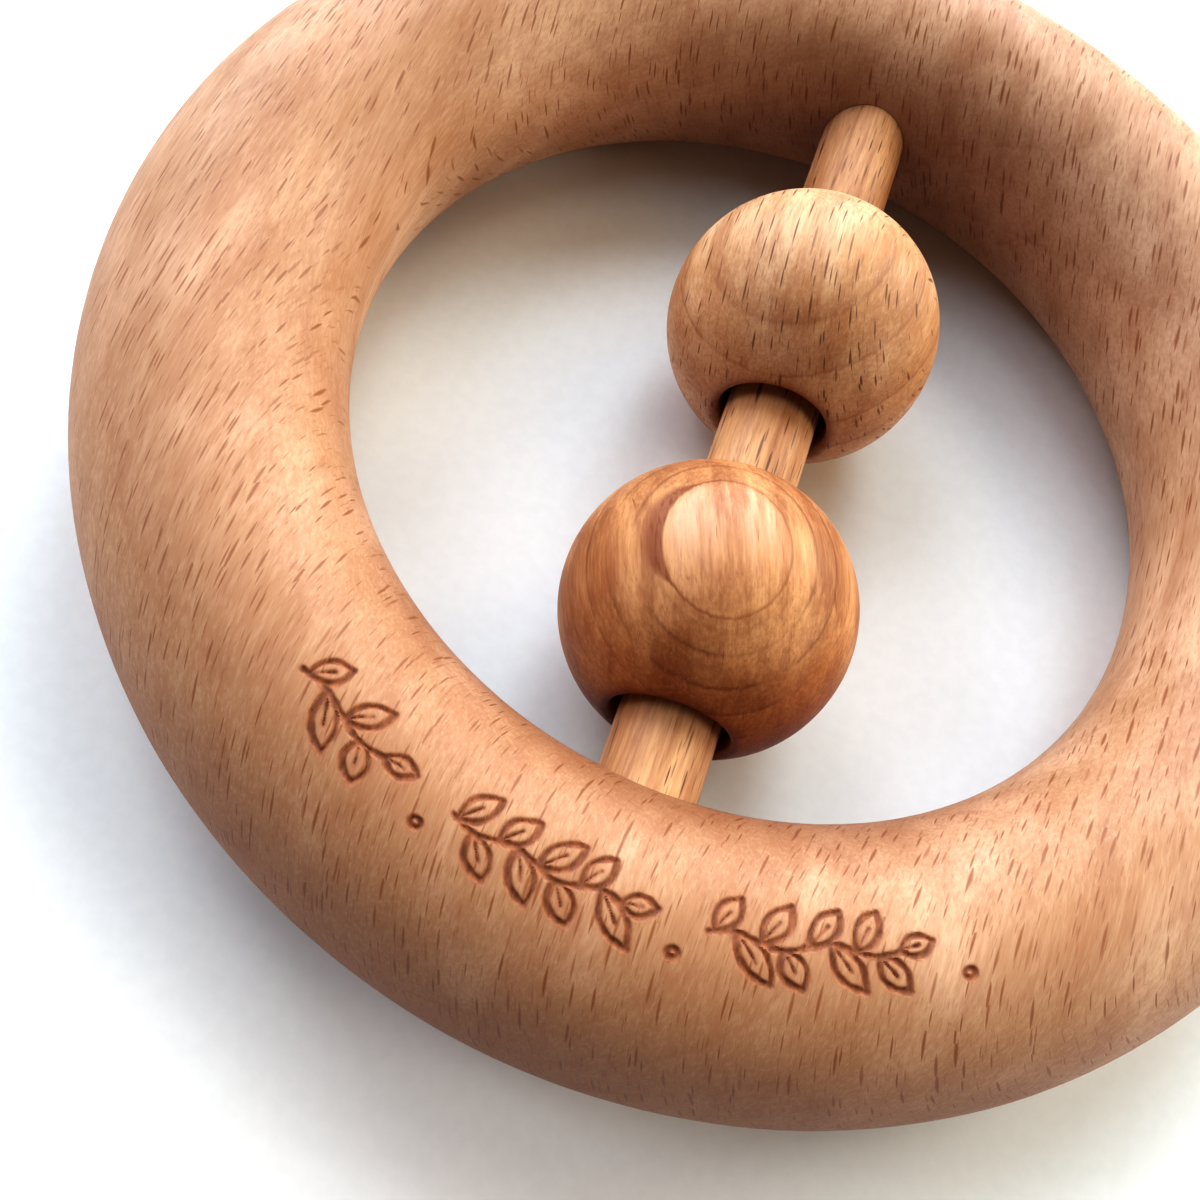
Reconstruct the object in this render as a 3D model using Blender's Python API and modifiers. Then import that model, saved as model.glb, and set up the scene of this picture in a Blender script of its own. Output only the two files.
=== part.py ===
"""Beech ring rattle: a turned ring with a crossbar dowel that carries two loose beads.

Frame: metres, +Z up. The rattle lies flat, the origin is under the ring's centre at the
level it rests on, and the crossbar runs along Y. The near bead is the one towards -Y.

How it goes together: a hole is drilled from outside through the ring's far wall (+Y) and
on into the near wall (-Y), where it stops as a blind socket. The dowel is pushed in through
that hole, through both beads, into the socket, glued, and sanded flush with the ring.
"""

import math

import bpy

# Ring: one solid piece, turned to an almost round section.
RING_OUTER_RADIUS = 0.0450
RING_HALF_WIDTH = 0.0084  # half of the section, measured along the radius
RING_HALF_HEIGHT = 0.0090  # half of the section, measured along Z
LAND_HALF_WIDTH = 0.0015  # narrow flat land on the top and on the bottom of the section
RING_SEGMENTS = 72
SECTION_SEGMENTS = 12  # facets on each side of the section, between the two lands

# Crossbar dowel: quarter-inch stock.
DOWEL_RADIUS = 0.003175
DOWEL_SEGMENTS = 32
SOCKET_DEPTH = 0.0100  # how far the dowel goes into the near wall
GLUE_GAP = 0.0003  # all round the dowel and at the bottom of the socket

# Beads: turned balls with a loose bore. Both lie on the surface that the ring lies on,
# so each bore sits a little higher than the dowel.
BORE_RADIUS = 0.0038
RIM_ROUNDING = 0.0004
BEAD_SEGMENTS = 40
BEAD_LIFT = 0.00002  # keeps a bead's lowest point from dipping under the rest plane
NEAR_BEAD_RADIUS = 0.00945
NEAR_BEAD_Y = -0.01540
FAR_BEAD_RADIUS = 0.00955
FAR_BEAD_Y = 0.00825

RING_MID_RADIUS = RING_OUTER_RADIUS - RING_HALF_WIDTH
RING_INNER_RADIUS = RING_OUTER_RADIUS - 2 * RING_HALF_WIDTH
MID_HEIGHT = RING_HALF_HEIGHT


def clear_scene():
    for obj in list(bpy.data.objects):
        bpy.data.objects.remove(obj, do_unlink=True)
    for collection in list(bpy.data.collections):
        bpy.data.collections.remove(collection)


def new_collection(name):
    collection = bpy.data.collections.new(name)
    bpy.context.scene.collection.children.link(collection)
    return collection


def wood(name, colour, roughness):
    material = bpy.data.materials.new(name)
    material.use_nodes = True
    shader = material.node_tree.nodes["Principled BSDF"]
    shader.inputs["Base Color"].default_value = (*colour, 1.0)
    shader.inputs["Roughness"].default_value = roughness
    shader.inputs["Metallic"].default_value = 0.0
    material.diffuse_color = (*colour, 1.0)
    return material


def side_points(direction):
    """Points of one side of the ring's section, from its top land to its bottom land.

    direction is 1 for the side away from the ring's centre and -1 for the side facing it.
    """
    edge = math.acos(LAND_HALF_WIDTH / RING_HALF_WIDTH)
    half_height = RING_HALF_HEIGHT / math.sin(edge)
    points = []
    for i in range(SECTION_SEGMENTS + 1):
        angle = edge - 2 * edge * i / SECTION_SEGMENTS
        points.append(
            (
                RING_MID_RADIUS + direction * RING_HALF_WIDTH * math.cos(angle),
                MID_HEIGHT + half_height * math.sin(angle),
            )
        )
    return points


def ball_points(radius):
    """Closed section of a bored ball about its own Z axis, down the outside and up the bore."""
    inner = radius - RIM_ROUNDING
    rim_x = BORE_RADIUS + RIM_ROUNDING
    rim_z = math.sqrt(inner * inner - rim_x * rim_x)
    start = math.atan2(rim_z, rim_x)
    outside = [
        (radius * math.cos(start * (1 - i / 8)), radius * math.sin(start * (1 - i / 8)))
        for i in range(17)
    ]
    rounding = [
        (rim_x + RIM_ROUNDING * math.cos(angle), rim_z + RIM_ROUNDING * math.sin(angle))
        for angle in (start + (math.pi - start) * i / 3 for i in range(1, 4))
    ]
    lower = [(x, -z) for x, z in rounding]
    upper = list(reversed(rounding))
    return outside + lower + upper


def turned(name, points, closed, segments, collection):
    """A solid of revolution about the object's Z axis, from a section in its XZ plane."""
    mesh = bpy.data.meshes.new(name)
    edges = [(i, i + 1) for i in range(len(points) - 1)]
    if closed:
        edges.append((len(points) - 1, 0))
    mesh.from_pydata([(x, 0.0, z) for x, z in points], edges, [])
    obj = bpy.data.objects.new(name, mesh)
    collection.objects.link(obj)
    screw = obj.modifiers.new("turn", "SCREW")
    screw.axis = "Z"
    screw.angle = 2 * math.pi
    screw.steps = segments
    screw.render_steps = segments
    screw.use_merge_vertices = True
    screw.merge_threshold = 0.00001
    screw.use_smooth_shade = True
    return obj


def rod(name, radius, y_low, y_high, segments, collection):
    """A cylinder along Y at the crossbar's height."""
    bpy.ops.mesh.primitive_cylinder_add(
        vertices=segments,
        radius=radius,
        depth=y_high - y_low,
        location=(0.0, (y_low + y_high) / 2, MID_HEIGHT),
        rotation=(math.pi / 2, 0.0, 0.0),
    )
    obj = bpy.context.active_object
    obj.name = name
    obj.data.name = name
    for owner in list(obj.users_collection):
        owner.objects.unlink(obj)
    collection.objects.link(obj)
    return obj


def boolean(obj, name, operation, cutter):
    modifier = obj.modifiers.new(name, "BOOLEAN")
    modifier.operation = operation
    modifier.solver = "EXACT"
    modifier.object = cutter


def as_cutter(obj):
    obj.hide_render = True
    obj.display_type = "WIRE"


clear_scene()
parts = new_collection("ring_rattle")
cutters = new_collection("cutters")

root = bpy.data.objects.new("rattle_frame", None)
root.empty_display_size = 0.01
parts.objects.link(root)

# The ring, with the hole and the socket for the crossbar.
outer_side = side_points(1)
inner_side = side_points(-1)
ring = turned("ring", outer_side + inner_side[::-1], True, RING_SEGMENTS, parts)

socket_end = -(RING_INNER_RADIUS + SOCKET_DEPTH)
drill = rod(
    "crossbar_drill",
    DOWEL_RADIUS + GLUE_GAP,
    socket_end - GLUE_GAP,
    RING_OUTER_RADIUS + 0.010,
    DOWEL_SEGMENTS,
    cutters,
)
as_cutter(drill)
boolean(ring, "crossbar_hole", "DIFFERENCE", drill)

# The crossbar, trimmed to the ring's outside so that its end is flush.
dowel = rod(
    "crossbar_dowel",
    DOWEL_RADIUS,
    socket_end,
    RING_OUTER_RADIUS + 0.005,
    DOWEL_SEGMENTS,
    parts,
)
puck = turned(
    "flush_trim",
    [(0.0, outer_side[0][1])] + outer_side + [(0.0, outer_side[-1][1])],
    False,
    RING_SEGMENTS * 2,
    cutters,
)
as_cutter(puck)
boolean(dowel, "flush_end", "INTERSECT", puck)
dowel.data.shade_smooth()
dowel.data.set_sharp_from_angle(angle=math.radians(40))

# The two beads, each turned about its bore, which lies along the crossbar.
near_bead = turned("near_bead", ball_points(NEAR_BEAD_RADIUS), True, BEAD_SEGMENTS, parts)
near_bead.location = (0.0, NEAR_BEAD_Y, NEAR_BEAD_RADIUS + BEAD_LIFT)
near_bead.rotation_euler = (math.pi / 2, 0.0, 0.0)

far_bead = turned("far_bead", ball_points(FAR_BEAD_RADIUS), True, BEAD_SEGMENTS, parts)
far_bead.location = (0.0, FAR_BEAD_Y, FAR_BEAD_RADIUS + BEAD_LIFT)
far_bead.rotation_euler = (math.pi / 2, 0.0, 0.0)

for obj, material in (
    (ring, wood("ring_beech", (0.62, 0.35, 0.19), 0.48)),
    (dowel, wood("dowel_beech", (0.66, 0.38, 0.19), 0.50)),
    (near_bead, wood("near_bead_beech", (0.56, 0.28, 0.13), 0.42)),
    (far_bead, wood("far_bead_beech", (0.68, 0.42, 0.22), 0.45)),
):
    obj.data.materials.append(material)
    obj.parent = root
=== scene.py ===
"""Looks of the beech ring rattle: finished meshes, beech materials, floor, light and camera."""

import math

import bmesh
import bpy
import numpy as np
from mathutils import Matrix, Vector, noise


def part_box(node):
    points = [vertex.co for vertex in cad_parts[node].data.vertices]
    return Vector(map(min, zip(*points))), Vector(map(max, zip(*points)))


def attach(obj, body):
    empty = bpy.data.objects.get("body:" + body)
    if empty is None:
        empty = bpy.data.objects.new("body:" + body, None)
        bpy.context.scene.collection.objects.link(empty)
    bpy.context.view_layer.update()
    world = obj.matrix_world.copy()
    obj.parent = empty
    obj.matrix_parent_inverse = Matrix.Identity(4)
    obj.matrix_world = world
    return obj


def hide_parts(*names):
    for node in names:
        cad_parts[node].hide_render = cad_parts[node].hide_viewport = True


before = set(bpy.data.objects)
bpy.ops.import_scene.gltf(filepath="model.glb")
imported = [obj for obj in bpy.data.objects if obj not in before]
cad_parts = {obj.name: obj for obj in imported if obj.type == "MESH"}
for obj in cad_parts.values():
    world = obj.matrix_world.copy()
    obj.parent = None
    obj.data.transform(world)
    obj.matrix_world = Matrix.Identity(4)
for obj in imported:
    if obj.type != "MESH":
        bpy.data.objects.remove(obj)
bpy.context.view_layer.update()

MM = 0.001

# ---------------------------------------------------------------- sizes, from the CAD, in mm

RING_LOW, RING_HIGH = (np.array(c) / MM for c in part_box("ring"))
NEAR_LOW, NEAR_HIGH = (np.array(c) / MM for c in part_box("near_bead"))
FAR_LOW, FAR_HIGH = (np.array(c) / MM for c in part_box("far_bead"))
DOWEL_LOW, DOWEL_HIGH = (np.array(c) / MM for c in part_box("crossbar_dowel"))

RING_OUTER = (RING_HIGH[0] - RING_LOW[0]) / 2
HALF_WIDTH = 8.4
HALF_HEIGHT = (RING_HIGH[2] - RING_LOW[2]) / 2
MID_RADIUS = RING_OUTER - HALF_WIDTH
MID_Z = HALF_HEIGHT
DOWEL_R = (DOWEL_HIGH[0] - DOWEL_LOW[0]) / 2
DOWEL_START = DOWEL_LOW[1]
BORE_R = 3.8
RIM = 0.4
NEAR_R = (NEAR_HIGH[0] - NEAR_LOW[0]) / 2
FAR_R = (FAR_HIGH[0] - FAR_LOW[0]) / 2
NEAR_C = ((NEAR_LOW + NEAR_HIGH) / 2).tolist()
FAR_C = ((FAR_LOW + FAR_HIGH) / 2).tolist()


# ---------------------------------------------------------------- mesh helpers


def graded(low, high, zones, coarse):
    """Positions from low to high (excluding high), spaced finely inside each (start, end, spacing) zone and easing to coarse outside."""
    x = np.linspace(low, high, 40001)
    step = np.full_like(x, coarse)
    for start, end, fine, ease in zones:
        outside = np.maximum(np.maximum(start - x, x - end), 0) / ease
        step = np.minimum(step, fine + (coarse - fine) * np.clip(outside, 0, 1) ** 1.5)
    count = np.concatenate([[0], np.cumsum((x[1] - x[0]) / ((step[1:] + step[:-1]) / 2))])
    n = int(round(count[-1]))
    return np.interp(np.arange(n) * count[-1] / n, count, x)


def grid_faces(rows, columns, wrap_rows, wrap_columns):
    """Quads of a rows x columns grid of vertices, row by row."""
    r = np.arange(rows if wrap_rows else rows - 1)
    c = np.arange(columns if wrap_columns else columns - 1)
    r, c = (m.ravel() for m in np.meshgrid(r, c, indexing="ij"))
    r1, c1 = (r + 1) % rows, (c + 1) % columns
    return np.stack([r * columns + c, r * columns + c1, r1 * columns + c1, r1 * columns + c], 1)


def mesh_object(name, points_mm, faces, attributes=None):
    mesh = bpy.data.meshes.new(name)
    mesh.from_pydata((np.asarray(points_mm) * MM).tolist(), [], [list(map(int, f)) for f in faces])
    for key, values in (attributes or {}).items():
        layer = mesh.attributes.new(key, "FLOAT", "POINT")
        layer.data.foreach_set("value", np.asarray(values, np.float32))
    mesh.update()
    obj = bpy.data.objects.new(name, mesh)
    bpy.context.scene.collection.objects.link(obj)
    return obj


def smooth_with_creases(mesh, degrees):
    """Smooth shading, with a crease wherever two faces meet at more than this angle."""
    bm = bmesh.new()
    bm.from_mesh(mesh)
    limit = math.radians(degrees)
    for face in bm.faces:
        face.smooth = True
    for edge in bm.edges:
        edge.smooth = not (len(edge.link_faces) == 2 and edge.calc_face_angle(0.0) > limit)
    bm.to_mesh(mesh)
    bm.free()


def smoothstep(low, high, x):
    t = np.clip((x - low) / (high - low), 0, 1)
    return t * t * (3 - 2 * t)


def soft_noise(points, scale, offset):
    """Smooth noise, about -1 to 1, at each point, with features about scale across."""
    return np.array([noise.noise(Vector((p[0] / scale + offset, p[1] / scale, p[2] / scale))) for p in points])


# ---------------------------------------------------------------- burnt motif on the ring

BAND_PHI = math.radians(-91.75)
BAND_THETA = math.radians(87.5)
U_PER_RAD, V_PER_RAD = 37.0, 8.75


def arc(x0, y0, x1, y1, bulge, n=9):
    """Points from one end to the other, bowed sideways by bulge."""
    s = np.linspace(0, 1, n)
    dx, dy = x1 - x0, y1 - y0
    length = math.hypot(dx, dy)
    bow = 4 * bulge * s * (1 - s)
    return np.stack([x0 + dx * s - dy / length * bow, y0 + dy * s + dx / length * bow], 1)


def leaf(x, y, angle, length, width):
    """An outlined leaf with a short vein, growing from (x, y)."""
    a = math.radians(angle)
    tip = (x + length * math.cos(a), y + length * math.sin(a))
    vein = (x + 0.58 * length * math.cos(a), y + 0.58 * length * math.sin(a))
    return [
        (arc(x, y, *tip, width / 2), 0.155),
        (arc(x, y, *tip, -width / 2), 0.185),
        (arc(x, y, *vein, 0.03, 5), 0.085),
    ]


def sprig(start, end, pairs, lean):
    """A wavy stem with leaves above and below it by turns."""
    length = end - start
    s = np.linspace(0, 1, 28)
    x = start + length * s
    wave = 0.30 * np.sin(2 * math.pi * (s * pairs / 2 + lean))
    strokes = [(np.stack([x, wave], 1), 0.165)]
    for i in range(pairs):
        for side in (1, -1):
            at = (i + (0.12 if side > 0 else 0.58)) / (pairs + 0.10)
            px, py = np.interp(at, s, x), np.interp(at, s, wave)
            tilt = side * (54 + 5 * math.sin(2.1 * i + side))
            reach = (2.12 - side * py) / math.sin(abs(math.radians(tilt)))
            strokes += leaf(px, py, tilt, reach, 1.3)
    strokes += leaf(end - 0.1, wave[-1], 12, 1.9, 1.1)
    return strokes


def dot(x, y, r):
    """A small ring with a paler middle."""
    t = np.linspace(0, 2 * math.pi, 13)
    return (np.stack([x + r * np.cos(t), y + 0.9 * r * np.sin(t)], 1), 0.17)


def u_of(phi_degrees):
    return (math.radians(phi_degrees) - BAND_PHI) * U_PER_RAD


STROKES = (
    sprig(u_of(-122.0), u_of(-112.2), 2, 0.0)
    + [dot(u_of(-107.3), -1.55, 0.28)]
    + sprig(u_of(-105.4), u_of(-90.6), 4, 0.5)
    + [dot(u_of(-85.9), -1.55, 0.28)]
    + sprig(u_of(-83.6), u_of(-67.6), 4, 0.0)
    + [dot(u_of(-62.2), -1.55, 0.28)]
)


def motif(phi, theta):
    """(groove depth in mm, burn 0-1, scorch 0-1) for arrays of angles."""
    u = (phi - BAND_PHI) * U_PER_RAD
    v = (theta - BAND_THETA) * V_PER_RAD - 0.016 * u + 0.05
    shape = u.shape
    u, v = u.ravel(), v.ravel()
    depth = np.zeros_like(u)
    burn = np.zeros_like(u)
    scorch = np.zeros_like(u)
    near = (np.abs(u) < 21.5) & (np.abs(v) < 3.4)
    pu, pv = u[near], v[near]
    # Uneven hand-held strokes: the width wanders a little along the row.
    wander = 0.024 * np.sin(3.1 * pu + 1.7 * pv) + 0.020 * np.sin(7.3 * pu - 2.9 * pv + 1.0)
    best = np.full(pu.shape, 9.0)
    for points, half in STROKES:
        a, b = points[:-1], points[1:]
        d = b - a
        for (ax, ay), (dx, dy) in zip(a, d):
            inside = (np.abs(pu - ax) < 2.2) & (np.abs(pv - ay) < 2.2)
            if not inside.any():
                continue
            qu, qv = pu[inside] - ax, pv[inside] - ay
            s = np.clip((qu * dx + qv * dy) / (dx * dx + dy * dy + 1e-12), 0, 1)
            away = np.hypot(qu - s * dx, qv - s * dy) - half - wander[inside]
            best[inside] = np.minimum(best[inside], away)
    depth[near] = 0.17 * (1 - smoothstep(-0.13, 0.03, best))
    burn[near] = 1 - smoothstep(-0.02, 0.08, best)
    scorch[near] = 1 - smoothstep(0.0, 0.28, best)
    return depth.reshape(shape), burn.reshape(shape), scorch.reshape(shape)


# ---------------------------------------------------------------- ring


def ring_mesh():
    deg = math.radians
    phi = graded(
        deg(-200), deg(160),
        [(deg(-123.5), deg(-60.0), 0.092 / 37.0, deg(9)), (deg(84), deg(96), 0.5 / 37.0, deg(8))],
        1.10 / 37.0,
    )
    theta = graded(
        deg(-90), deg(270),
        [(deg(68.5), deg(106.5), 0.092 / 8.7, deg(9)), (deg(150), deg(210), 0.55 / 8.7, deg(10)), (deg(-25), deg(25), 0.55 / 8.7, deg(10))],
        0.80 / 8.7,
    )
    th, ph = np.meshgrid(theta, phi, indexing="ij")
    depth, burn, scorch = motif(ph, th)
    c, s = np.cos(th), np.sin(th)
    nx, nz = c / HALF_WIDTH, s / HALF_HEIGHT
    size = np.hypot(nx, nz)
    nx, nz = nx / size, nz / size
    rho = MID_RADIUS + HALF_WIDTH * c
    z = MID_Z + HALF_HEIGHT * s
    # Hand sanding leaves the turned surface a few hundredths of a millimetre uneven.
    flat = np.stack([rho * np.cos(ph), rho * np.sin(ph), z], -1).reshape(-1, 3)
    uneven = 0.035 * (1 + soft_noise(flat, 11.0, 3.7)) + 0.012 * (1 + soft_noise(flat, 3.5, 9.1))
    sink = depth + uneven.reshape(depth.shape)
    rho = rho - sink * nx
    z = z - sink * nz
    points = np.stack([rho * np.cos(ph), rho * np.sin(ph), z], -1).reshape(-1, 3)
    faces = grid_faces(len(theta), len(phi), True, True)
    obj = mesh_object("ring_body", points, faces[:, ::-1], {"burn": burn.ravel(), "scorch": scorch.ravel()})
    return obj


def lathe_y(name, profile, centre, segments, wobble=0.0, offset=0.0):
    """A closed profile of (radius, y) points turned about the Y axis through centre, in mm."""
    profile = np.asarray(profile)
    angle = np.arange(segments) * 2 * math.pi / segments
    r = profile[:, :1] * np.ones(segments)
    x = r * np.cos(angle)
    z = r * np.sin(angle)
    y = profile[:, 1:] * np.ones(segments)
    points = np.stack([x, y, z], -1).reshape(-1, 3)
    if wobble:
        length = np.linalg.norm(points, axis=1)
        sink = wobble * (1 + soft_noise(points, 5.5, offset)) * (length > BORE_R + 1.5)
        points = points * (1 - sink / length)[:, None]
    points = points + np.array(centre)
    return mesh_object(name, points, grid_faces(len(profile), segments, True, True))


def bead_profile(radius):
    """Closed section of a bored ball: outside arc, rounded rim, bore, rounded rim."""
    inner = radius - RIM
    rim_x = BORE_R + RIM
    rim_y = math.sqrt(inner * inner - rim_x * rim_x)
    start = math.atan2(rim_y, rim_x)
    outside = [(radius * math.cos(t), radius * math.sin(t)) for t in np.linspace(-start, start, 61)]
    upper = [
        (rim_x + RIM * math.cos(t), rim_y + RIM * math.sin(t))
        for t in np.linspace(start, math.pi, 9)[1:]
    ]
    lower = [(x, -y) for x, y in reversed(upper)]
    bore = [(BORE_R, y) for y in np.linspace(rim_y, -rim_y, 26)[1:-1]]
    return outside + upper + bore + lower


def dowel_mesh():
    segments = 72
    angle = np.arange(segments) * 2 * math.pi / segments
    # The far end is sanded flush with the ring's outside, so it takes the ring's curve.
    def outside_y(x, z):
        rho = MID_RADIUS + HALF_WIDTH * np.sqrt(np.maximum(1 - ((z - MID_Z) / HALF_HEIGHT) ** 2, 0))
        return np.sqrt(rho * rho - x * x) - 0.02

    rows = []
    for r in (0.02, 0.8, 1.6, 2.4, 2.9):
        rows.append(np.stack([r * np.cos(angle), np.full(segments, DOWEL_START), MID_Z + r * np.sin(angle)], -1))
    for drop, y in ((0.12, 0.0), (0.03, 0.06), (0.0, 0.18)):
        r = DOWEL_R - drop
        rows.append(np.stack([r * np.cos(angle), np.full(segments, DOWEL_START + y), MID_Z + r * np.sin(angle)], -1))
    for y in np.linspace(DOWEL_START + 1.0, 42.0, 84):
        r = DOWEL_R
        rows.append(np.stack([r * np.cos(angle), np.full(segments, y), MID_Z + r * np.sin(angle)], -1))
    for drop, back in ((0.0, 0.10), (0.03, 0.03), (0.09, 0.0)):
        r = DOWEL_R - drop
        x, z = r * np.cos(angle), MID_Z + r * np.sin(angle)
        rows.append(np.stack([x, outside_y(x, z) - back, z], -1))
    for r in (2.9, 2.3, 1.6, 0.8, 0.02):
        x, z = r * np.cos(angle), MID_Z + r * np.sin(angle)
        rows.append(np.stack([x, outside_y(x, z), z], -1))
    points = np.concatenate(rows)
    faces = [list(f) for f in grid_faces(len(rows), segments, False, True)]
    last = (len(rows) - 1) * segments
    faces.append(list(range(segments))[::-1])
    faces.append([last + i for i in range(segments)])
    return mesh_object("crossbar", points, faces)


def outward(obj):
    """Turns the faces to point outwards."""
    bm = bmesh.new()
    bm.from_mesh(obj.data)
    bmesh.ops.recalc_face_normals(bm, faces=bm.faces)
    if bm.calc_volume(signed=True) < 0:
        bmesh.ops.reverse_faces(bm, faces=bm.faces)
    bm.to_mesh(obj.data)
    bm.free()


def drilled(obj, radius, y_low, y_high):
    """Cuts a hole along Y at the crossbar's height, right through obj between the two positions."""
    segments = 96
    angle = np.arange(segments) * 2 * math.pi / segments
    ends = [
        np.stack([radius * np.cos(angle), np.full(segments, y), MID_Z + radius * np.sin(angle)], -1)
        for y in (y_low, y_high)
    ]
    faces = [list(f) for f in grid_faces(2, segments, False, True)]
    faces += [list(range(segments))[::-1], [segments + i for i in range(segments)]]
    drill = mesh_object("drill", np.concatenate(ends), faces)
    outward(drill)
    cut = obj.modifiers.new("drilled", "BOOLEAN")
    cut.operation = "DIFFERENCE"
    cut.solver = "EXACT"
    cut.object = drill
    bpy.context.view_layer.update()
    graph = bpy.context.evaluated_depsgraph_get()
    mesh = bpy.data.meshes.new_from_object(obj.evaluated_get(graph))
    old = obj.data
    obj.modifiers.clear()
    obj.data = mesh
    mesh.name = obj.name
    bpy.data.meshes.remove(old)
    spent = drill.data
    bpy.data.objects.remove(drill, do_unlink=True)
    bpy.data.meshes.remove(spent)


ring = ring_mesh()
outward(ring)
drilled(ring, DOWEL_R + 0.05, DOWEL_START - 0.3, 60.0)
smooth_with_creases(ring.data, 50)

crossbar = dowel_mesh()
outward(crossbar)
smooth_with_creases(crossbar.data, 50)

near = lathe_y("bead_near", bead_profile(NEAR_R), NEAR_C, 128, 0.012, 2.0)
far = lathe_y("bead_far", bead_profile(FAR_R), FAR_C, 128, 0.012, 7.0)
for bead in (near, far):
    outward(bead)
    smooth_with_creases(bead.data, 60)


# ---------------------------------------------------------------- material helpers


def linear(r, g, b):
    """An sRGB colour from 0 to 255 as linear RGBA."""
    out = []
    for c in (r, g, b):
        c = c / 255
        out.append(c / 12.92 if c <= 0.04045 else ((c + 0.055) / 1.055) ** 2.4)
    return (*out, 1.0)


class Graph:
    """A small layer over a node tree: every method adds one node and returns its output."""

    def __init__(self, name):
        self.material = bpy.data.materials.new(name)
        self.material.use_nodes = True
        self.tree = self.material.node_tree
        self.tree.nodes.clear()

    def node(self, kind, inputs=(), **settings):
        n = self.tree.nodes.new(kind)
        for key, value in settings.items():
            setattr(n, key, value)
        items = inputs.items() if isinstance(inputs, dict) else enumerate(inputs)
        for key, value in items:
            if value is None:
                continue
            if isinstance(value, bpy.types.NodeSocket):
                self.tree.links.new(value, n.inputs[key])
            else:
                n.inputs[key].default_value = value
        return n

    def math(self, operation, a, b=None, c=None, clamp=False):
        return self.node("ShaderNodeMath", [a, b, c], operation=operation, use_clamp=clamp).outputs[0]

    def vector(self, operation, a, b=None, scale=None):
        n = self.node("ShaderNodeVectorMath", [a, b], operation=operation)
        if scale is not None:
            if isinstance(scale, bpy.types.NodeSocket):
                self.tree.links.new(scale, n.inputs["Scale"])
            else:
                n.inputs["Scale"].default_value = scale
        return n.outputs["Value"] if operation in ("DOT_PRODUCT", "LENGTH", "DISTANCE") else n.outputs["Vector"]

    def combine(self, x, y, z):
        return self.node("ShaderNodeCombineXYZ", [x, y, z]).outputs[0]

    def separate(self, v):
        return self.node("ShaderNodeSeparateXYZ", [v]).outputs

    def noise(self, v, scale=1.0, detail=2.0, rough=0.5, distortion=0.0):
        n = self.node(
            "ShaderNodeTexNoise",
            {"Vector": v, "Scale": scale, "Detail": detail, "Roughness": rough, "Distortion": distortion},
            noise_dimensions="3D",
        )
        return n.outputs

    def voronoi(self, v, randomness=1.0):
        n = self.node(
            "ShaderNodeTexVoronoi",
            {"Vector": v, "Scale": 1.0, "Randomness": randomness},
            voronoi_dimensions="3D",
            feature="F1",
        )
        return n.outputs

    def span(self, x, a, b, c=0.0, d=1.0, smooth=True):
        """x from a-b mapped to c-d, clamped."""
        n = self.node(
            "ShaderNodeMapRange",
            {"Value": x, "From Min": a, "From Max": b, "To Min": c, "To Max": d},
            interpolation_type="SMOOTHSTEP" if smooth else "LINEAR",
        )
        return n.outputs[0]

    def ramp(self, x, stops, mode="LINEAR"):
        """stops are (position, grey or RGBA)."""
        n = self.node("ShaderNodeValToRGB", [x])
        n.color_ramp.interpolation = mode
        elements = n.color_ramp.elements
        while len(elements) > 1:
            elements.remove(elements[-1])
        for i, (at, colour) in enumerate(stops):
            e = elements[0] if i == 0 else elements.new(at)
            e.position = at
            e.color = colour if isinstance(colour, tuple) else (colour, colour, colour, 1.0)
        return n.outputs[0]

    def mix(self, share, a, b, blend="MIX"):
        n = self.node("ShaderNodeMix", data_type="RGBA", blend_type=blend)
        n.clamp_factor = True
        for key, value in ((0, share), (6, a), (7, b)):
            if isinstance(value, bpy.types.NodeSocket):
                self.tree.links.new(value, n.inputs[key])
            else:
                n.inputs[key].default_value = value
        return n.outputs[2]


def unit(v):
    v = np.array(v, float)
    return v / np.linalg.norm(v)


def axes_of(along, radial):
    """(across, along, radial): unit vectors of the wood's own frame, from the fibre direction and roughly the way out from the pith."""
    g = unit(along)
    r = np.array(radial, float)
    r = unit(r - g * (r @ g))
    return np.cross(g, r), g, r


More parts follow.
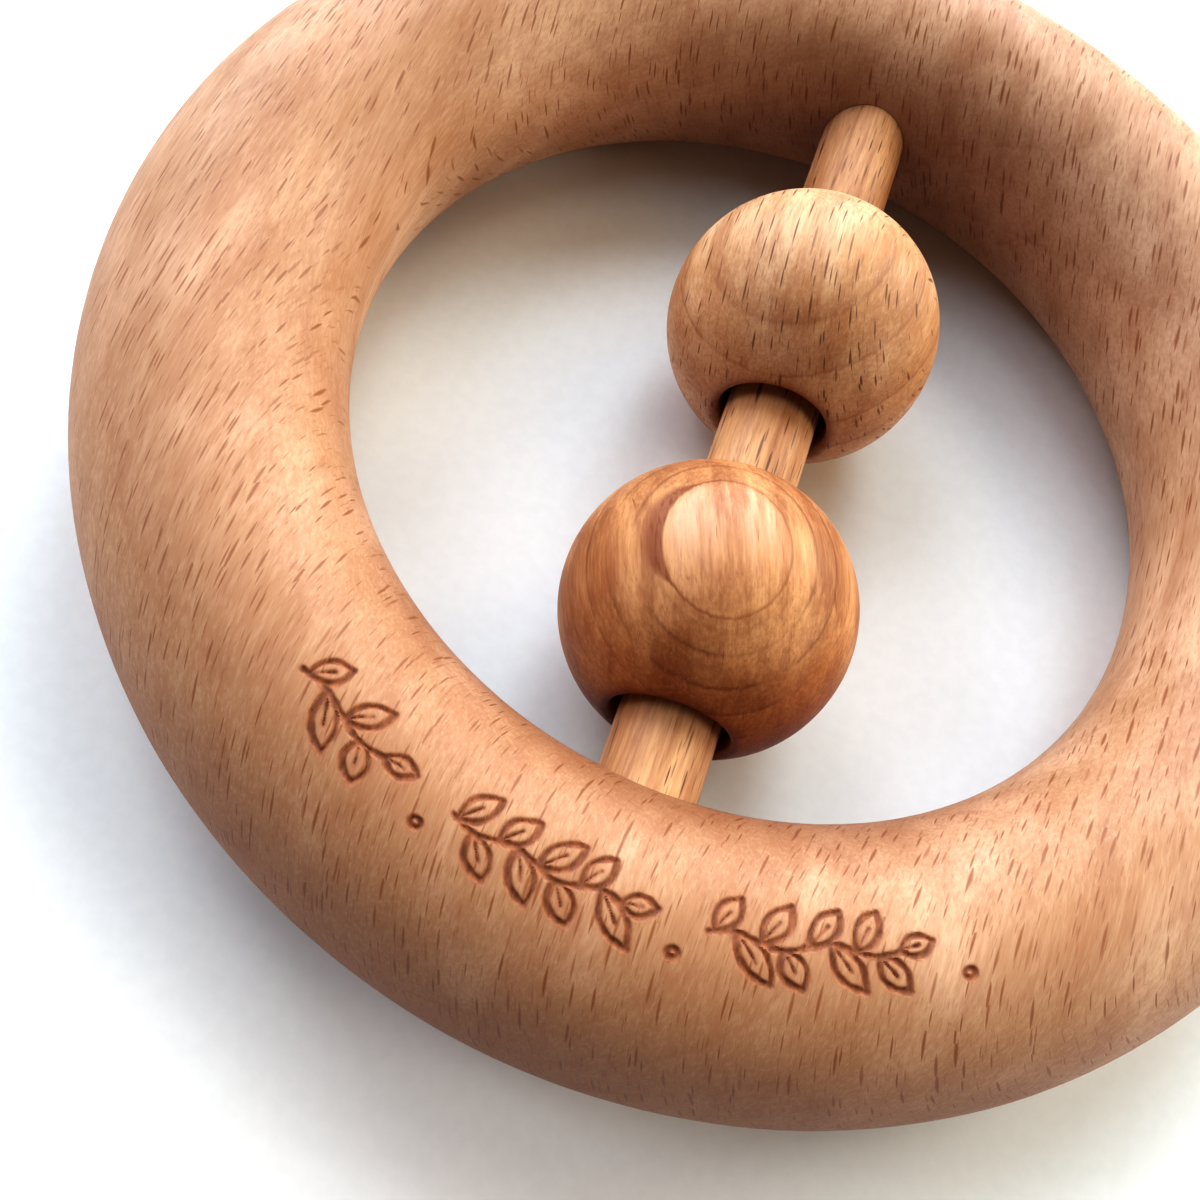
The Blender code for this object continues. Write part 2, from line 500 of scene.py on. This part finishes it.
def beech(
    name,
    centre,
    axes,
    pith,
    growth,
    tones,
    shift=(0.0, 0.0, 0.0),
    layers=0.6,
    teeth=0.0,
    wander=1.0,
    blotch=0.4,
    stripes=(0.42, 0.75),
    fine=1.0,
    flecks=((0.66, 1.75, 1.10), (0.110, 0.85, 0.48), 0.9, 0.80),
    specks=((0.42, 1.05, 0.90), (0.062, 0.50, 0.42), 0.9, 0.45),
    crescent=None,
    rim=None,
    burn=False,
    end_tone=0.8,
    end_tint=(208, 172, 146),
    tone_and_shade_slope=(0.0, 0.0, 0.0),
    faint=0.40,
    rough=0.5,
    gloss=0.38,
):
    """Solid beech, worked out from the position in the piece, so the figure runs through it as in real wood.

    centre is the piece's own origin in mm, axes come from axes_of, pith is the (across, radial)
    place of the tree's centre seen from there, and growth is either ("years", spacing, phase) or
    ("lines", half range, [(distance out from the pith, tone)]). tones are the sRGB colours
    (pale, mid, deep, fleck, latewood). flecks and specks are (cell, half size, share, strength)
    of the rays, in mm across, along and out from the pith. faint is how much of a growth line is
    left where it fades.
    """
    pale, mid, deep, dark, late = (linear(*t) for t in tones)
    across, along, radial = (tuple(float(x) for x in a) for a in axes)
    k = Graph(name)
    place = k.node("ShaderNodeTexCoord").outputs["Object"]
    mm = k.vector("SUBTRACT", k.vector("SCALE", place, scale=1000.0), tuple(centre))
    t = k.vector("DOT_PRODUCT", mm, across)
    g = k.vector("DOT_PRODUCT", mm, along)
    r = k.vector("DOT_PRODUCT", mm, radial)
    seeded = k.vector("ADD", k.combine(t, g, r), tuple(shift))

    # Slow wander of the grain.
    slow = k.noise(k.vector("MULTIPLY", seeded, (0.055, 0.020, 0.055)), 1.0, 1.0, 0.5)["Color"]
    slow = k.vector("SUBTRACT", slow, (0.5, 0.5, 0.5))
    quick = k.noise(k.vector("MULTIPLY", seeded, (0.30, 0.07, 0.30)), 1.0, 1.0, 0.5)["Color"]
    quick = k.vector("SUBTRACT", quick, (0.5, 0.5, 0.5))
    wood = k.vector("ADD", seeded, k.vector("MULTIPLY", slow, (2.4 * wander, 0.0, 2.4 * wander)))
    wood = k.vector("ADD", wood, k.vector("MULTIPLY", quick, (0.45 * wander, 0.0, 0.45 * wander)))

    # Fibre: long soft bands and fine threads.
    bands = k.noise(k.vector("MULTIPLY", wood, (stripes[1], 0.035, 0.25)), 1.0, 3.0, 0.6)[0]
    threads = k.noise(k.vector("MULTIPLY", wood, (4.5, 0.33, 4.5)), 1.0, 3.0, 0.65)[0]
    pores = k.noise(k.vector("MULTIPLY", wood, (9.0, 0.85, 9.0)), 1.0, 2.0, 0.6)[0]
    cloud = k.noise(k.vector("MULTIPLY", seeded, (0.17, 0.09, 0.17)), 1.0, 2.0, 0.55)[0]
    # A straight tone slope through the piece: partly the wood's own figure and partly painted shade, darkening the
    # sides that face away from the light (the ring's front and left, the near bead's front and bottom).
    depth = k.math("ADD", cloud, k.vector("DOT_PRODUCT", mm, tuple(tone_and_shade_slope)))
    flush = k.noise(k.vector("MULTIPLY", seeded, (0.26, 0.075, 0.26)), 1.0, 3.0, 0.6)["Color"]
    flush = k.separate(flush)[1]

    # Growth layers round the pith.
    t2, g2, r2 = k.separate(k.vector("SUBTRACT", wood, tuple(shift)))
    reach = math.hypot(*pith)
    from_pith = k.math("SUBTRACT", t2, pith[0])
    below = k.math("SUBTRACT", pith[1], r2) if pith[1] > 0 else k.math("SUBTRACT", r2, pith[1])
    out = k.math("SUBTRACT", k.vector("LENGTH", k.combine(from_pith, 0.0, below)), reach)
    turned = k.math("MULTIPLY", k.math("ARCTAN2", from_pith, below), reach)
    sheets = k.vector("ADD", k.combine(turned, g2, out), tuple(shift))
    if teeth:
        comb = k.noise(k.combine(k.math("MULTIPLY", turned, 2.3), k.math("MULTIPLY", g2, 0.03), 4.0), 1.0, 1.0, 0.5)[0]
        out = k.math("ADD", out, k.math("MULTIPLY", k.math("SUBTRACT", comb, 0.5), teeth))
    if growth[0] == "years":
        spacing, phase = growth[1], growth[2]
        breathe = k.noise(k.combine(0.0, 0.0, k.math("MULTIPLY", out, 0.11)), 1.0, 1.0, 0.5)[0]
        year = k.math("ADD", k.math("DIVIDE", out, spacing), k.math("MULTIPLY", breathe, 2.4))
        year = k.math("FRACT", k.math("ADD", year, phase))
        layer = k.ramp(year, [(0.0, 0.10), (0.08, 0.0), (0.45, 0.12), (0.80, 0.38), (0.90, 0.95), (0.96, 1.0), (1.0, 0.10)], "B_SPLINE")
    else:
        inside = k.span(out, -growth[1], growth[1], 0.0, 1.0, smooth=False)
        stops = [((d + growth[1]) / (2 * growth[1]), v) for d, v in growth[2]]
        layer = k.ramp(inside, stops)
    layer = k.math("MULTIPLY", layer, k.span(flush, 0.34, 0.62, faint, 1.0))

    # How squarely the surface faces the flat of the rays: they would show whole there, so they are thinned.
    facing = k.node("ShaderNodeNewGeometry").outputs["Normal"]
    swing = k.math("DIVIDE", turned, reach)
    flat = k.math("MULTIPLY", k.vector("DOT_PRODUCT", facing, across), k.math("COSINE", swing))
    aside = k.math("MULTIPLY", k.vector("DOT_PRODUCT", facing, radial), k.math("SINE", swing))
    flat = k.math("ADD" if pith[1] > 0 else "SUBTRACT", flat, aside)
    slant = k.math("MAXIMUM", k.math("SUBTRACT", 1.0, k.math("MULTIPLY", flat, flat)), 0.025)
    slant = k.math("POWER", slant, 0.32)

    # Rays: thin sheets that cut the surface as short dark dashes.
    def rays(spec, offset, soft, least=0.55, spread=0.75):
        cell, half, share, _ = spec
        at = k.vector("MULTIPLY", k.vector("ADD", sheets, offset), tuple(1 / c for c in cell))
        v = k.voronoi(at)
        away = k.vector("SUBTRACT", at, v["Position"])
        luck = k.separate(v["Color"])
        size = k.math("ADD", k.math("MULTIPLY", luck[0], spread), least)
        away = k.vector("MULTIPLY", away, tuple(c / h for c, h in zip(cell, half)))
        away = k.vector("DIVIDE", away, k.combine(size, size, size))
        x, y, z = k.separate(k.vector("ABSOLUTE", away))
        x = k.math("DIVIDE", x, slant)
        # A sheet is a thin lens: it narrows towards both ends.
        far_out = k.math("ADD", x, k.math("ADD", k.math("MULTIPLY", y, y), k.math("MULTIPLY", z, z)))
        body = k.span(far_out, 1.0, soft, 0.0, 1.0)
        kept = k.span(luck[1], 1.0 - share, 1.0 - share + 0.5, 0.25, 1.0)
        return k.math("MULTIPLY", body, kept)

    big = rays(flecks, (0.0, 0.0, 0.0), 0.25)
    small = rays(specks, (31.0, 7.0, 3.0), 0.2)

    colour = k.mix(k.span(depth, 0.32, 0.68), pale, mid)
    colour = k.mix(k.math("MULTIPLY", k.span(flush, 0.46, 0.70), blotch), colour, deep)
    colour = k.mix(k.math("MULTIPLY", k.span(bands, 0.40, 0.66), stripes[0]), colour, deep)
    colour = k.mix(k.math("MULTIPLY", layer, layers), colour, late)
    colour = k.mix(k.math("MULTIPLY", k.span(threads, 0.36, 0.74), 0.34 * fine), colour, deep)
    colour = k.mix(k.math("MULTIPLY", k.span(threads, 0.52, 0.28), 0.20 * fine), colour, pale)
    colour = k.mix(k.math("MULTIPLY", k.span(pores, 0.56, 0.78), 0.30 * fine), colour, late)
    if crescent is not None:
        edge, thin, thick, side, tone, core = crescent
        a = math.radians(side)
        toward = k.math("ADD", k.math("MULTIPLY", t2, math.cos(a)), k.math("MULTIPLY", g2, math.sin(a)))
        toward = k.math("DIVIDE", toward, k.vector("LENGTH", k.combine(t2, g2, 0.3)))
        wide = k.span(toward, 0.55, 0.99, thin, thick)
        past = k.math("SUBTRACT", out, edge)
        mask = k.math("MULTIPLY", k.span(past, -0.05, 0.06), k.span(k.math("DIVIDE", past, wide), 1.3, 0.45))
        mask = k.math("MULTIPLY", mask, k.span(toward, -0.3, 0.8, 0.55, 0.95))
        mask = k.math("MULTIPLY", mask, k.span(threads, 0.30, 0.62, 1.0, 0.68))
        heart = k.math("MULTIPLY", k.span(past, 0.12, -0.32), k.span(bands, 0.40, 0.60, 0.60, 0.14))
        heart = k.math("MULTIPLY", heart, k.span(g2, -3.0, 1.8, 0.10, 1.0))
        colour = k.mix(heart, colour, linear(*core))
        colour = k.mix(mask, colour, linear(*tone))
    colour = k.mix(k.math("MULTIPLY", small, specks[3]), colour, dark)
    colour = k.mix(k.math("MULTIPLY", big, flecks[3]), colour, dark)

    # End grain soaks up more oil, so it is darker. On the ring this darkening is also painted shade: it is set strong
    # there to darken the far inner wall round the dowel, which lies in shade.
    end = k.math("ABSOLUTE", k.vector("DOT_PRODUCT", facing, along))
    end = k.span(end, 0.45, 1.0, 0.0, end_tone)
    colour = k.mix(end, colour, k.mix(1.0, colour, linear(*end_tint), "MULTIPLY"))

    height = k.math("MULTIPLY", threads, 0.30)
    height = k.math("SUBTRACT", height, k.math("MULTIPLY", big, 0.55))
    height = k.math("SUBTRACT", height, k.math("MULTIPLY", k.span(pores, 0.55, 0.75), 0.22))
    height = k.math("SUBTRACT", height, k.math("MULTIPLY", layer, 0.12))

    roughness = k.math("ADD", k.math("MULTIPLY", threads, 0.16), rough - 0.08)
    roughness = k.math("ADD", roughness, k.math("MULTIPLY", end, 0.08))
    roughness = k.math("SUBTRACT", roughness, k.math("MULTIPLY", big, 0.06))

    if rim is not None:
        # Handling and the dowel's rubbing darken and polish the rims of the bore.
        x, y, z = k.separate(mm)
        from_axis = k.vector("LENGTH", k.combine(x, 0.0, z))
        worn = k.math("ADD", from_axis, k.math("MULTIPLY", k.math("SUBTRACT", cloud, 0.5), 1.2))
        edge = k.span(worn, rim[1], rim[0], 0.0, 1.0)
        colour = k.mix(k.math("MULTIPLY", edge, 0.6), colour, k.mix(1.0, colour, linear(176, 128, 96), "MULTIPLY"))
        roughness = k.math("SUBTRACT", roughness, k.math("MULTIPLY", edge, 0.06))

    if burn:
        groove = k.node("ShaderNodeAttribute", attribute_name="burn").outputs["Fac"]
        halo = k.node("ShaderNodeAttribute", attribute_name="scorch").outputs["Fac"]
        char = k.noise(k.vector("MULTIPLY", wood, (2.4, 1.1, 2.4)), 1.0, 3.0, 0.65)[0]
        burnt = k.ramp(char, [(0.30, linear(108, 57, 29)), (0.50, linear(134, 73, 39)), (0.74, linear(166, 100, 60))])
        groove = k.math("MULTIPLY", groove, k.span(char, 0.25, 0.60, 0.98, 0.84))
        colour = k.mix(k.math("MULTIPLY", halo, 0.30), colour, linear(166, 102, 63))
        colour = k.mix(groove, colour, burnt)
        roughness = k.math("ADD", roughness, k.math("MULTIPLY", groove, 0.18))
        height = k.math("ADD", height, k.math("MULTIPLY", k.math("MULTIPLY", char, groove), 0.9))

    bump = k.node("ShaderNodeBump", {"Strength": 1.0, "Distance": 0.00003, "Height": height}).outputs[0]
    shader = k.node(
        "ShaderNodeBsdfPrincipled",
        {"Base Color": colour, "Roughness": roughness, "Normal": bump, "IOR": 1.46, "Specular IOR Level": gloss},
    )
    k.node("ShaderNodeOutputMaterial", [shader.outputs[0]])
    return k.material


RING_AXES = axes_of((0.004, 1.0, 0.096), (-0.39, 0.0, 0.92))
NEAR_AXES = axes_of((-0.32, 0.947, -0.024), (-0.129, -0.019, 0.991))
FAR_AXES = axes_of((0.0, 1.0, -0.10), (-0.30, 0.10, 0.948))
DOWEL_AXES = axes_of((0.012, 1.0, 0.0), (0.80, 0.0, 0.60))

ring_wood = beech(
    "beech_ring", (0, 0, 9), RING_AXES, (0.0, 130.0), ("years", 2.9, 0.1),
    ((205, 165, 134), (179, 135, 100), (160, 105, 69), (140, 81, 42), (146, 92, 58)),
    shift=(12.3, 4.1, 7.7), layers=0.24, blotch=0.40, stripes=(0.34, 0.6), fine=1.2, burn=True,
    flecks=((0.62, 1.80, 1.70), (0.122, 1.08, 0.90), 0.95, 0.92),
    specks=((0.40, 1.00, 1.20), (0.062, 0.55, 0.60), 0.9, 0.50),
    # The end-grain darkening here is set strong, so it also paints the shade on the far inner wall round the dowel.
    # The tone slope here darkens the ring towards the front and left, partly as painted shade.
    end_tone=0.9, end_tint=(196, 168, 150), tone_and_shade_slope=(-0.0022, -0.0042, 0.0),
)
dowel_wood = beech(
    "beech_dowel", (0, 0, 9), DOWEL_AXES, (3.0, -60.0), ("years", 1.7, 0.4),
    ((213, 167, 122), (186, 136, 90), (152, 92, 52), (91, 46, 20), (138, 79, 44)),
    shift=(-31.0, 14.0, 5.0), layers=0.5, wander=0.4, stripes=(0.62, 1.1), fine=1.3,
    flecks=((0.56, 2.2, 0.70), (0.115, 1.40, 0.28), 0.95, 0.95),
    specks=((0.38, 1.4, 0.55), (0.065, 0.80, 0.24), 0.9, 0.60), rough=0.52,
    end_tone=0.9, end_tint=(198, 168, 152),
)
near_wood = beech(
    "beech_near_bead", NEAR_C, NEAR_AXES, (0.0, 31.0),
    ("lines", 10.0, [
        (-8.5, 0.0), (-8.35, 0.30), (-8.10, 0.16), (-8.02, 0.55), (-7.94, 0.20), (-7.66, 0.22), (-7.58, 0.34),
        (-7.50, 0.22), (-7.28, 0.36), (-7.18, 0.95), (-7.04, 0.22), (-6.75, 0.28), (-6.62, 0.46), (-6.47, 0.24),
        (-5.80, 0.45), (-5.66, 1.0), (-5.52, 0.22), (-4.25, 0.50), (-4.05, 1.0), (-3.90, 0.26), (-2.0, 0.55),
        (-1.85, 1.0), (-1.70, 0.30), (1.2, 0.6), (1.35, 1.0), (1.5, 0.36), (4.0, 0.5), (4.1, 0.9), (4.25, 0.3),
        (6.6, 0.45), (6.7, 0.85), (6.85, 0.25),
    ]),
    ((214, 159, 109), (167, 103, 55), (140, 74, 33), (108, 52, 22), (96, 42, 12)),
    shift=(5.0, -22.0, 40.0), layers=0.78, teeth=0.13, wander=0.20, blotch=0.42, stripes=(0.55, 0.8), fine=1.2,
    flecks=((1.2, 3.0, 1.6), (0.085, 0.95, 0.55), 0.6, 0.5), specks=((0.6, 1.5, 1.2), (0.055, 0.55, 0.45), 0.6, 0.35),
    crescent=(-8.43, 0.09, 0.82, 164.0, (118, 44, 5), (217, 174, 149)), rim=(4.0, 5.0),
    # The tone slope here darkens the bead towards the front and bottom, partly as painted shade and partly the bead's
    # own figure.
    tone_and_shade_slope=(0.0, -0.020, -0.026), faint=0.12, rough=0.50, gloss=0.25,
)
far_wood = beech(
    "beech_far_bead", FAR_C, FAR_AXES, (-2.0, 38.0),
    ("lines", 10.0, [
        (-10.0, 0.0), (-8.6, 0.04), (-7.2, 0.42), (-6.78, 0.85), (-6.62, 0.10), (-5.4, 0.14), (-4.2, 0.45),
        (-4.0, 1.0), (-3.84, 0.16), (-1.8, 0.22), (-0.3, 0.45), (-0.1, 0.95), (0.06, 0.16), (2.4, 0.4),
        (2.6, 0.95), (2.76, 0.16), (5.2, 0.4), (5.4, 0.9), (5.55, 0.12), (8.0, 0.3), (8.1, 0.7), (8.25, 0.1), (10.0, 0.2),
    ]),
    ((222, 184, 146), (198, 150, 104), (165, 104, 61), (114, 63, 28), (139, 79, 42)),
    shift=(55.0, 9.0, -18.0), layers=0.72, teeth=0.20, wander=0.3, blotch=0.46, stripes=(0.4, 0.8), fine=1.2,
    flecks=((0.78, 2.3, 1.20), (0.120, 1.55, 0.60), 0.95, 0.95),
    specks=((0.42, 1.3, 0.90), (0.060, 0.62, 0.42), 0.9, 0.45), rim=(4.0, 5.0), rough=0.52, gloss=0.34,
    end_tone=0.5,
)

for piece, material, body, node, slot in (
    (ring, ring_wood, "ring", "ring", "ring_wood"),
    (crossbar, dowel_wood, "ring", "crossbar_dowel", "dowel_wood"),
    (near, near_wood, "near_bead", "near_bead", "near_bead_wood"),
    (far, far_wood, "far_bead", "far_bead", "far_bead_wood"),
):
    piece.data.materials.clear()
    piece.data.materials.append(material)
    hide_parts(node)
    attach(piece, body)


# ---------------------------------------------------------------- floor, light and camera

floor_mesh = bpy.data.meshes.new("floor")
side = 3.0
floor_mesh.from_pydata([(-side, -side, 0), (side, -side, 0), (side, side, 0), (-side, side, 0)], [], [(0, 1, 2, 3)])
floor = bpy.data.objects.new("floor", floor_mesh)
bpy.context.scene.collection.objects.link(floor)
paper = Graph("pale_floor")
spot = paper.node("ShaderNodeTexCoord").outputs["Object"]
grainy = paper.noise(spot, 900.0, 2.0, 0.6)[0]
tint = paper.mix(paper.span(grainy, 0.3, 0.7), (0.83, 0.83, 0.83, 1.0), (0.855, 0.855, 0.855, 1.0))
# Painted shade: the floor is made a touch greyer towards the front, standing in for the light falling off there.
painted_front_shade = paper.span(paper.separate(spot)[1], 0.03, -0.13, 0.0, 1.0)
tint = paper.mix(painted_front_shade, tint, paper.mix(1.0, tint, (0.84, 0.84, 0.848, 1.0), "MULTIPLY"))
dimple = paper.node("ShaderNodeBump", {"Strength": 0.15, "Distance": 0.00005, "Height": grainy}).outputs[0]
sheet = paper.node("ShaderNodeBsdfPrincipled", {"Base Color": tint, "Roughness": 0.75, "Normal": dimple, "Specular IOR Level": 0.25})
paper.node("ShaderNodeOutputMaterial", [sheet.outputs[0]])
floor_mesh.materials.append(paper.material)

world = bpy.data.worlds.new("studio")
bpy.context.scene.world = world
world.use_nodes = True
sky = world.node_tree
sky.nodes.clear()
room = sky.nodes.new("ShaderNodeBackground")
room.inputs["Color"].default_value = (0.82, 0.86, 1.0, 1.0)
room.inputs["Strength"].default_value = 0.035
sweep = sky.nodes.new("ShaderNodeBackground")
sweep.inputs["Color"].default_value = (1.0, 1.0, 1.0, 1.0)
sweep.inputs["Strength"].default_value = 1.0
path = sky.nodes.new("ShaderNodeLightPath")
either = sky.nodes.new("ShaderNodeMixShader")
sky.links.new(path.outputs["Is Camera Ray"], either.inputs[0])
sky.links.new(room.outputs[0], either.inputs[1])
sky.links.new(sweep.outputs[0], either.inputs[2])
sky.links.new(either.outputs[0], sky.nodes.new("ShaderNodeOutputWorld").inputs[0])


def softbox(name, azimuth, elevation, spread, strength, colour):
    """A broad soft lamp, far enough off to light the floor evenly. Azimuth 0 is +X and 90 is +Y, in degrees; spread is how wide it looks from the rattle."""
    a, e = math.radians(azimuth), math.radians(elevation)
    at = Vector((math.cos(e) * math.cos(a), math.cos(e) * math.sin(a), math.sin(e)))
    data = bpy.data.lights.new(name, "SUN")
    data.angle = math.radians(spread)
    data.energy = strength
    data.color = colour
    lamp = bpy.data.objects.new(name, data)
    lamp.location = at
    lamp.rotation_euler = (-at).to_track_quat("-Z", "Y").to_euler()
    bpy.context.scene.collection.objects.link(lamp)
    return lamp


softbox("back_right_low", 45, 22, 28, 2.28, (0.815, 0.982, 1.0))
softbox("back_low", 90, 22, 28, 1.58, (0.581, 0.76, 1.0))
softbox("back_left_low", 135, 22, 28, 2.11, (0.796, 0.95, 1.0))
softbox("right_low", 0, 22, 28, 1.68, (1.0, 0.912, 0.766))
softbox("left_low", 180, 22, 28, 1.06, (1.0, 0.885, 0.889))
softbox("back_right_high", 45, 48, 28, 0.70, (1.0, 0.723, 0.411))
softbox("back_high", 90, 48, 28, 1.84, (0.829, 0.956, 1.0))
softbox("back_left_high", 135, 48, 28, 1.17, (0.857, 0.892, 1.0))
softbox("left_high", 180, 48, 28, 0.66, (0.83, 0.897, 1.0))
softbox("right_high", 0, 48, 28, 0.23, (1.0, 0.765, 0.48))
softbox("overhead", 0, 89, 28, 0.30, (0.859, 0.986, 1.0))

camera_data = bpy.data.cameras.new("camera")
camera = bpy.data.objects.new("camera", camera_data)
bpy.context.scene.collection.objects.link(camera)
right = Vector((0.92946022, 0.3174926, 0.18788869))
up = Vector((-0.36774705, 0.83796051, 0.40321742))
forward = Vector((0.02942475, 0.44387006, -0.89560793))
camera.matrix_world = Matrix((
    (right.x, up.x, -forward.x, -0.008906325),
    (right.y, up.y, -forward.y, -0.053412370),
    (right.z, up.z, -forward.z, 0.081852550),
    (0.0, 0.0, 0.0, 1.0),
))
camera_data.sensor_fit = "HORIZONTAL"
camera_data.sensor_width = 36.0
camera_data.lens = 1300.82 * 36.0 / 1200.0
camera_data.clip_start = 0.001
camera_data.clip_end = 10.0
bpy.context.scene.camera = camera

bpy.context.scene.view_settings.view_transform = "Standard"
bpy.context.scene.view_settings.look = "None"
bpy.context.scene.view_settings.exposure = 0.0
bpy.context.scene.view_settings.gamma = 0.8
